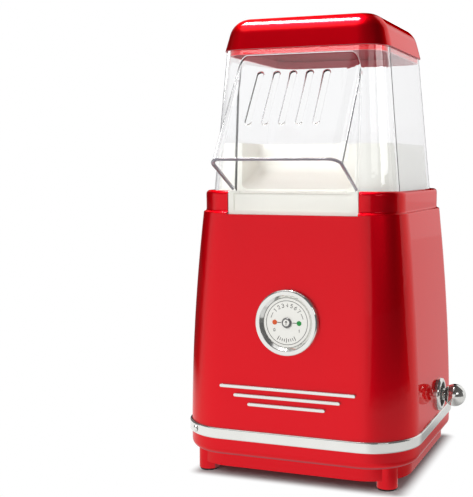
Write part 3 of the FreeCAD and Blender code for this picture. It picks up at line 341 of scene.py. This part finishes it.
def off_stand(f):
    """How far a place on the floor lies outside the rectangle that the part stands on."""
    beyond_side = (f.axis("X") - STAND_SHIFT).size() - STAND_HALF_WIDTH
    beyond_front = f.axis("Y").size() - STAND_HALF_DEPTH
    apart = f.node("ShaderNodeCombineXYZ", None, [beyond_side.at_least(0.0), beyond_front.at_least(0.0)])
    return f.vector("LENGTH", [apart], "Value")


def floor_loss(f, away):
    """How much of the floor's white a reflection misses: the dark room far off, the part's shade close by."""
    heading = f.vector("NORMALIZE", [f.place()])
    reach = f.vector("LENGTH", [f.place()], "Value")
    unlit = dark_room(f, heading) * f.step(reach, 0.3, 0.6) * seen_directly(f)
    right = f.step(f.axis("X"), 0.06, 0.12) * (0.3 + 0.4 * f.step(away, 0.09, 0.03))
    beside = right.at_least(0.2 * f.step(away, 0.12, 0.02))
    return (0.04 + 0.9 * unlit).at_least(beside * seen_directly(f))


def floor_white(f):
    """Pale floor: close under the part a mid grey that is painted shade, darkening the part's real shadow
    there; plain white further out.
    """
    # painted shade: the floor near the part is a mid grey, so its contact shadow reads darker
    lit = principled(f, Base_Color=f.mix(f.noise(60), (0.46, 0.46, 0.46), (0.54, 0.54, 0.54)), Roughness=0.8)
    away = off_stand(f)
    glossy_ray = f.ray("Is Glossy Ray")
    level = 1 - 0.4 * f.ray("Is Diffuse Ray") - glossy_ray * floor_loss(f, away)
    glow = f.node("ShaderNodeEmission", None, {"Color": f.grey(level)})
    return f.blend(f.step(away, 0.0, SHADE_REACH).at_least(glossy_ray), lit, glow)


RECIPES = {recipe.__name__: recipe for recipe in (
    candy_red, chrome, ivory, clear_plastic, clear_rim, dial_white, dial_ink, hub_grey, marker_orange,
    marker_green, black_plastic, dark_rubber, zinc_steel, aluminium, brass, mica, heater_wire, magnet,
    board_green, floor_white)}


# the CAD nodes take the finish of their slot

for part in frame["record"]["subparts"]:
    node = NODES[part["node"]]
    node.data.materials.clear()
    node.data.materials.append(finish(part["material_slot"]))


# pieces added to the CAD nodes

SHARP_EDGE = math.radians(40)


def piece(name, points, faces, finish_name, body):
    """A closed mesh piece with its normals outward, riding on a body."""
    mesh = bpy.data.meshes.new(name)
    mesh.from_pydata([tuple(point) for point in points], [], faces)
    shell = bmesh.new()
    shell.from_mesh(mesh)
    bmesh.ops.recalc_face_normals(shell, faces=shell.faces)
    shell.to_mesh(mesh)
    shell.free()
    mesh.shade_smooth()
    mesh.set_sharp_from_angle(angle=SHARP_EDGE)
    mesh.materials.append(finish(finish_name))
    made = bpy.data.objects.new(name, mesh)
    bpy.context.scene.collection.objects.link(made)
    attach(made, body)


def front_face(node_name):
    """The frame of a node's front: X across, Y up the face and Z straight out of it, in millimetres."""
    mesh = NODES[node_name].data
    looking = [face for face in mesh.polygons if face.normal.y < -0.97]
    out = sum((face.normal * face.area for face in looking), Vector()).normalized()
    up = out.cross(Vector((1, 0, 0))).normalized()
    across = up.cross(out)
    ends = [[point.co.dot(way) for point in mesh.vertices] for way in (across, up, out)]
    middle = [(min(places) + max(places)) / 2 for places in ends[:2]] + [max(ends[2])]
    turn = Matrix((across, up, out)).transposed()
    return Matrix.Translation(turn @ Vector(middle)) @ turn.to_4x4() @ Matrix.Scale(MM, 4)


def spot(radius, angle):
    """A point on a circle, by the angle from across towards up."""
    turn = math.radians(angle)
    return Vector((radius * math.cos(turn), radius * math.sin(turn)))


def arc(radius, start, end, count):
    return [spot(radius, start + (end - start) * step / (count - 1)) for step in range(count)]


class Print:
    """Raised ink lines in the plane of the dial, gathered into one mesh."""
    LOW = -0.03
    HIGH = 0.05

    def __init__(self):
        self.points = []
        self.faces = []

    def line(self, path, width, closed=False):
        first = len(self.points)
        count = len(path)
        for number, point in enumerate(path):
            before = path[number - 1] if closed or number else point
            after = path[(number + 1) % count] if closed or number < count - 1 else point
            along = (after - before).normalized()
            side = Vector((-along.y, along.x)) * width / 2
            for edge, level in ((side, self.LOW), (side, self.HIGH), (-side, self.HIGH), (-side, self.LOW)):
                self.points.append(Vector((*(point + edge), level)))
        for number in range(count if closed else count - 1):
            self.bridge(first + 4 * number, first + 4 * ((number + 1) % count))
        if not closed:
            last = first + 4 * (count - 1)
            self.faces.append(tuple(range(first, first + 4)))
            self.faces.append(tuple(range(last, last + 4)))

    def bridge(self, here, there):
        """Joins the four corners of one cross-section to those of the next."""
        for corner in range(4):
            turn = (corner + 1) % 4
            self.faces.append((here + corner, here + turn, there + turn, there + corner))

    def sign(self, strokes, place, height, lean, width):
        """Strokes drawn in a box one unit high, set at a place and turned by an angle."""
        turn = Matrix.Rotation(math.radians(lean), 2)
        for stroke in strokes:
            self.line([place + turn @ (Vector(point) * height) for point in stroke], width)

    def lay(self, name, face):
        """Sets the lines on a face of the base as one piece of ink."""
        piece(name, [face @ point for point in self.points], self.faces, "dial_ink", "base")


def bend(x, y, wide, high, start, end):
    """Part of an ellipse as a stroke."""
    turns = [math.radians(start + (end - start) * step / 8) for step in range(9)]
    return [(x + wide * math.cos(turn), y + high * math.sin(turn)) for turn in turns]


DIGITS = {
    "0": [bend(0, 0, 0.28, 0.46, 0, 180), bend(0, 0, 0.28, 0.46, 180, 360)],
    "1": [[(-0.18, 0.3), (0.04, 0.48), (0.04, -0.48)]],
    "2": [bend(0, 0.2, 0.26, 0.28, 160, -40) + [(-0.28, -0.46), (0.3, -0.46)]],
    "3": [bend(-0.04, 0.22, 0.26, 0.25, 150, -90), bend(-0.04, -0.22, 0.3, 0.26, 90, -150)],
    "4": [[(0.12, -0.48), (0.12, 0.48), (-0.3, -0.18), (0.3, -0.18)]],
    "5": [[(0.26, 0.46), (-0.2, 0.46), (-0.24, 0.06)] + bend(-0.02, -0.16, 0.3, 0.3, 120, -140)],
    "6": [[(0.18, 0.48), (-0.2, 0.05)] + bend(0, -0.18, 0.28, 0.28, 150, -210)],
    "7": [[(-0.28, 0.46), (0.28, 0.46), (-0.06, -0.48)]],
}


def numbered_arc(ink):
    """The digits 1 to 7 over the top of the dial, with a short arc at each end."""
    digit_radius = 13.4
    digit_pitch = 15.5
    for number in range(1, 8):
        angle = 90 - (number - 4) * digit_pitch
        ink.sign(DIGITS[str(number)], spot(digit_radius, angle), 3.0, angle - 90, 0.42)
    for start, end in ((166, 147), (33, 14)):
        ink.line(arc(13.6, start, end, 9), 0.4)


def marker_signs(ink):
    """A line from the hub to each marker, and a digit under each."""
    for side, digit in ((-1, "0"), (1, "1")):
        ink.line([Vector((side * 4.6, 0)), Vector((side * 8.2, 0))], 0.5)
        ink.sign(DIGITS[digit], Vector((side * 10.2, -5.9)), 2.4, 0, 0.4)


def tick_row(ink):
    """Nine ticks at the foot of the dial, the ends and the middle longer."""
    tick_pitch = 7.5
    for tick in range(-4, 5):
        place = spot(13.6, 270 + tick_pitch * tick)
        reach = 0.13 if tick % 4 == 0 else 0.08
        ink.line([place * (1 - reach), place * (1 + reach)], 0.5)


def dial_print():
    """Circles, a numbered arc, a line between the markers and a row of ticks, as a plain dial has."""
    ink = Print()
    for radius, width in ((19.2, 0.3), (16.9, 0.4)):
        ink.line(arc(radius, 0, 360, 73)[:-1], width, closed=True)
    numbered_arc(ink)
    marker_signs(ink)
    tick_row(ink)
    ink.lay("dial_print", front_face("dial_face"))


def turned(profile, count):
    """Points and faces of a profile of radius and height turned about Z; its ends lie on the axis."""
    points = [Vector((0, 0, profile[0][1]))]
    for radius, height in profile[1:-1]:
        for step in range(count):
            turn = 2 * math.pi * step / count
            points.append(Vector((radius * math.cos(turn), radius * math.sin(turn), height)))
    points.append(Vector((0, 0, profile[-1][1])))
    last = len(points) - 1
    faces = []
    for step in range(count):
        after = (step + 1) % count
        faces.append((0, 1 + after, 1 + step))
        for ring in range(len(profile) - 3):
            here = 1 + ring * count
            faces.append((here + step, here + after, here + count + after, here + count + step))
        faces.append((last - count + step, last - count + after, last))
    return points, faces


CAP_HEIGHT = 0.24


def hub_cap():
    """The pale inlay of the dial's hub."""
    profile = [(0, -0.05), (2.55, -0.05), (2.55, 0.14), (2.4, 0.22), (0, CAP_HEIGHT)]
    points, faces = turned(profile, 48)
    face = front_face("dial_hub")
    piece("hub_cap", [face @ point for point in points], faces, "dial_white", "base")


def hub_pointer():
    """A small dark arrow on the inlay of the hub."""
    ink = Print()
    ink.line([Vector((0, -1.7)), Vector((0, 1.5))], 0.5)
    ink.line([Vector((-0.9, 0.2)), Vector((0, 1.7)), Vector((0.9, 0.2))], 0.5)
    ink.lay("hub_pointer", front_face("dial_hub") @ Matrix.Translation((0, 0, CAP_HEIGHT)))


def band_reach(corner, away):
    """How far the band's outer face lies from the centre of its corner, along a level direction."""
    spread = [point.co / MM - corner for point in NODES["chrome_band"].data.vertices]
    near = [point for point in spread if abs(point.z) < 4 and point.xy.normalized().dot(away.xy) > 0.98]
    return max(point.dot(away) for point in near)


def band_rivet():
    """The domed rivet that joins the chrome band at its front left corner."""
    corner = Vector((-55.9, -54.0, 35.9))
    away = toward(-36, 0)
    dome = [(0, -0.4), (2.0, -0.4), (2.0, 0.15), (2.7, 0.3), (2.65, 0.7), (2.2, 1.15), (1.2, 1.5), (0, 1.6)]
    points, faces = turned(dome, 40)
    turn = away.to_track_quat("Z", "Y").to_matrix()
    seat = corner + away * band_reach(corner, away)
    piece("band_rivet", [(seat + turn @ point) * MM for point in points], faces, "chrome", "base")


def tube(path, radius, count):
    """Points and faces of a round closed tube along a path."""
    points = []
    faces = []
    last = len(path) - 1
    side = None
    for number, place in enumerate(path):
        along = (path[min(number + 1, last)] - path[max(number - 1, 0)]).normalized()
        side = (side - along * side.dot(along) if side else along.orthogonal()).normalized()
        other = along.cross(side)
        for step in range(count):
            turn = 2 * math.pi * step / count
            points.append(place + radius * (side * math.cos(turn) + other * math.sin(turn)))
    for number in range(last):
        for step in range(count):
            here = number * count
            after = (step + 1) % count
            faces.append((here + step, here + after, here + count + after, here + count + step))
    faces.append(tuple(range(count)))
    faces.append(tuple(range(last * count, last * count + count)))
    return points, faces


def awning_rim():
    """The rolled rim round the mouth of the hood's awning."""
    lip = Vector((0, -120.6, 252.0))
    heel = Vector((0, -76.06, 228.3))
    half_width = 51.5
    corner = 9.0
    inset = 0.5
    heel_gap = 2.0
    rim_radius = 1.2
    slope = (heel - lip).normalized()
    foot = lip + slope * ((heel - lip).length - heel_gap)
    path = [Vector((-half_width + inset, *foot.yz))]
    for step in range(13):
        turn = math.radians(180 - 90 * step / 12)
        across = -half_width + corner + (corner - inset) * math.cos(turn)
        deep = corner - (corner - inset) * math.sin(turn)
        path.append(Vector((across, *(lip + slope * deep).yz)))
    path += [Vector((-place.x, place.y, place.z)) for place in reversed(path)]
    points, faces = tube(path, rim_radius, 14)
    piece("awning_rim", [point * MM for point in points], faces, "clear_rim", "hood")


dial_print()
awning_rim()
hub_cap()
hub_pointer()
band_rivet()


# floor, light and camera

def floor():
    mesh = bpy.data.meshes.new("floor")
    reach = 6.0
    corners = [(-reach, -reach, 0), (reach, -reach, 0), (reach, reach, 0), (-reach, reach, 0)]
    mesh.from_pydata(corners, [], [(0, 1, 2, 3)])
    made = bpy.data.objects.new("floor", mesh)
    made.data.materials.append(finish("floor_white"))
    bpy.context.scene.collection.objects.link(made)


def reflected_level(f, heading, ceiling):
    """What reflections see: white, with a dim ceiling, a dark room, a bright side wall and a card overhead."""
    side_wall = patch(f, heading, toward(156, 25), 0.88, 0.94)
    overhead = patch(f, heading, toward(-53, 61), 0.9, 0.97)
    over_top = patch(f, heading, toward(200, 8), 0.9, 0.96)
    behind = patch(f, heading, toward(165, 0), 0.6, 0.8)
    unlit = dark_room(f, heading).at_least(over_top)
    dim = (ceiling * (1 - side_wall)).at_least(unlit) * (1 - overhead) * seen_directly(f)
    return 0.96 - 0.95 * dim + 0.1 * side_wall + 0.05 * overhead - 0.15 * behind * seen_directly(f)


def studio_world():
    """White to the camera and through the clear plastic, a soft even light on the part."""
    world = bpy.data.worlds.new("studio")
    world.use_nodes = True
    bpy.context.scene.world = world
    f = Finish(world.node_tree)
    heading = f.node("ShaderNodeTexCoord", out="Generated")
    ceiling = patch(f, heading, UP, 0.17, 0.47)
    bounced = f.ray("Diffuse Depth").at_most(1.0)
    plain = (f.ray("Is Camera Ray") + f.ray("Is Transmission Ray")).at_most(1.0) * (1 - 0.5 * bounced)
    spread = 0.62 - 0.12 * ceiling
    glossy_ray = f.ray("Is Glossy Ray")
    reflected = glossy_ray * reflected_level(f, heading, ceiling)
    level = (spread + (1 - spread) * plain) * (1 - glossy_ray) + reflected
    back = f.node("ShaderNodeBackground", None, {"Color": f.grey(level)})
    f.node("ShaderNodeOutputWorld", None, {"Surface": back})


def softbox(name, place, aim, size, power, roll=0):
    lamp = bpy.data.lights.new(name, "AREA")
    lamp.shape = "RECTANGLE"
    lamp.size = size[0]
    lamp.size_y = size[1]
    lamp.energy = power
    made = bpy.data.objects.new(name, lamp)
    made.location = place
    pointing = (Vector(aim) - Vector(place)).to_track_quat("-Z", "Y").to_matrix()
    made.rotation_euler = (pointing @ Matrix.Rotation(math.radians(roll), 3, "Z")).to_euler()
    made.visible_camera = False
    bpy.context.scene.collection.objects.link(made)
    return made


def light_only(lamp, node_names, state):
    """Limits a lamp to some nodes, or keeps it off them."""
    group = bpy.data.collections.new(lamp.name + "_reach")
    for number, node_name in enumerate(node_names):
        group.objects.link(NODES[node_name])
        group.collection_objects[number].light_linking.link_state = state
    lamp.light_linking.receiver_collection = group


def spread_lamps():
    """Two soft lamps that light the part and stay out of its reflections."""
    centre = (0, 0, 0.2)
    key = softbox("key_left", (-0.55, -1.3, 1.15), centre, (0.9, 0.9), 12.2)
    fill = softbox("fill_right", (1.5, 0.5, 0.8), centre, (0.6, 1.0), 3)
    for lamp in (key, fill):
        lamp.visible_glossy = False


def gloss_lamps():
    """Lamps that only show as highlights: the lid's strip, the awning's edge and the hood's corner."""
    centre = (0, 0, 0.2)
    lid_front = (0, -0.06, 0.36)
    awning = Vector((0, -0.09, 0.29))
    reach = 1.3
    top = softbox("top_box", (-0.45, 0.02, 1.55), lid_front, (0.34, 0.84), 44, -32)
    left = softbox("left_box", toward(-112, 15) * reach + awning, awning, (0.6, 0.2), 3.4, 18)
    corner = softbox("corner_box", toward(45, 0) + UP * 0.54, centre, (0.4, 0.26), 0.8)
    hood = softbox("hood_box", toward(84, 13) * reach + awning, awning, (0.7, 0.3), 5)
    for lamp in (top, left, corner, hood):
        lamp.visible_diffuse = False
        lamp.visible_transmission = False
        lamp.data.cycles.max_bounces = 0
    light_only(top, ["chrome_band", "front_trim"], "EXCLUDE")
    light_only(left, ["hood"], "INCLUDE")
    light_only(hood, ["hood"], "INCLUDE")


def camera():
    """The photograph's viewing angle, with its optical axis beside the middle of the frame."""
    image_wide = 473
    image_long = 497
    focal_px = 955.98
    axis_px = 307.3
    yaw = math.radians(20.10)
    pitch = math.radians(4.83)
    data = bpy.data.cameras.new("camera")
    data.sensor_width = 36
    data.lens = focal_px * data.sensor_width / image_long
    data.shift_x = (image_wide / 2 - axis_px) / image_long
    made = bpy.data.objects.new("camera", data)
    bpy.context.scene.collection.objects.link(made)
    made.location = (0.2642, -0.7680, 0.2456)
    made.rotation_euler = (math.pi / 2 - pitch, 0, yaw)
    bpy.context.scene.camera = made


floor()
studio_world()
spread_lamps()
gloss_lamps()
camera()
bpy.context.scene.view_settings.view_transform = "Standard"
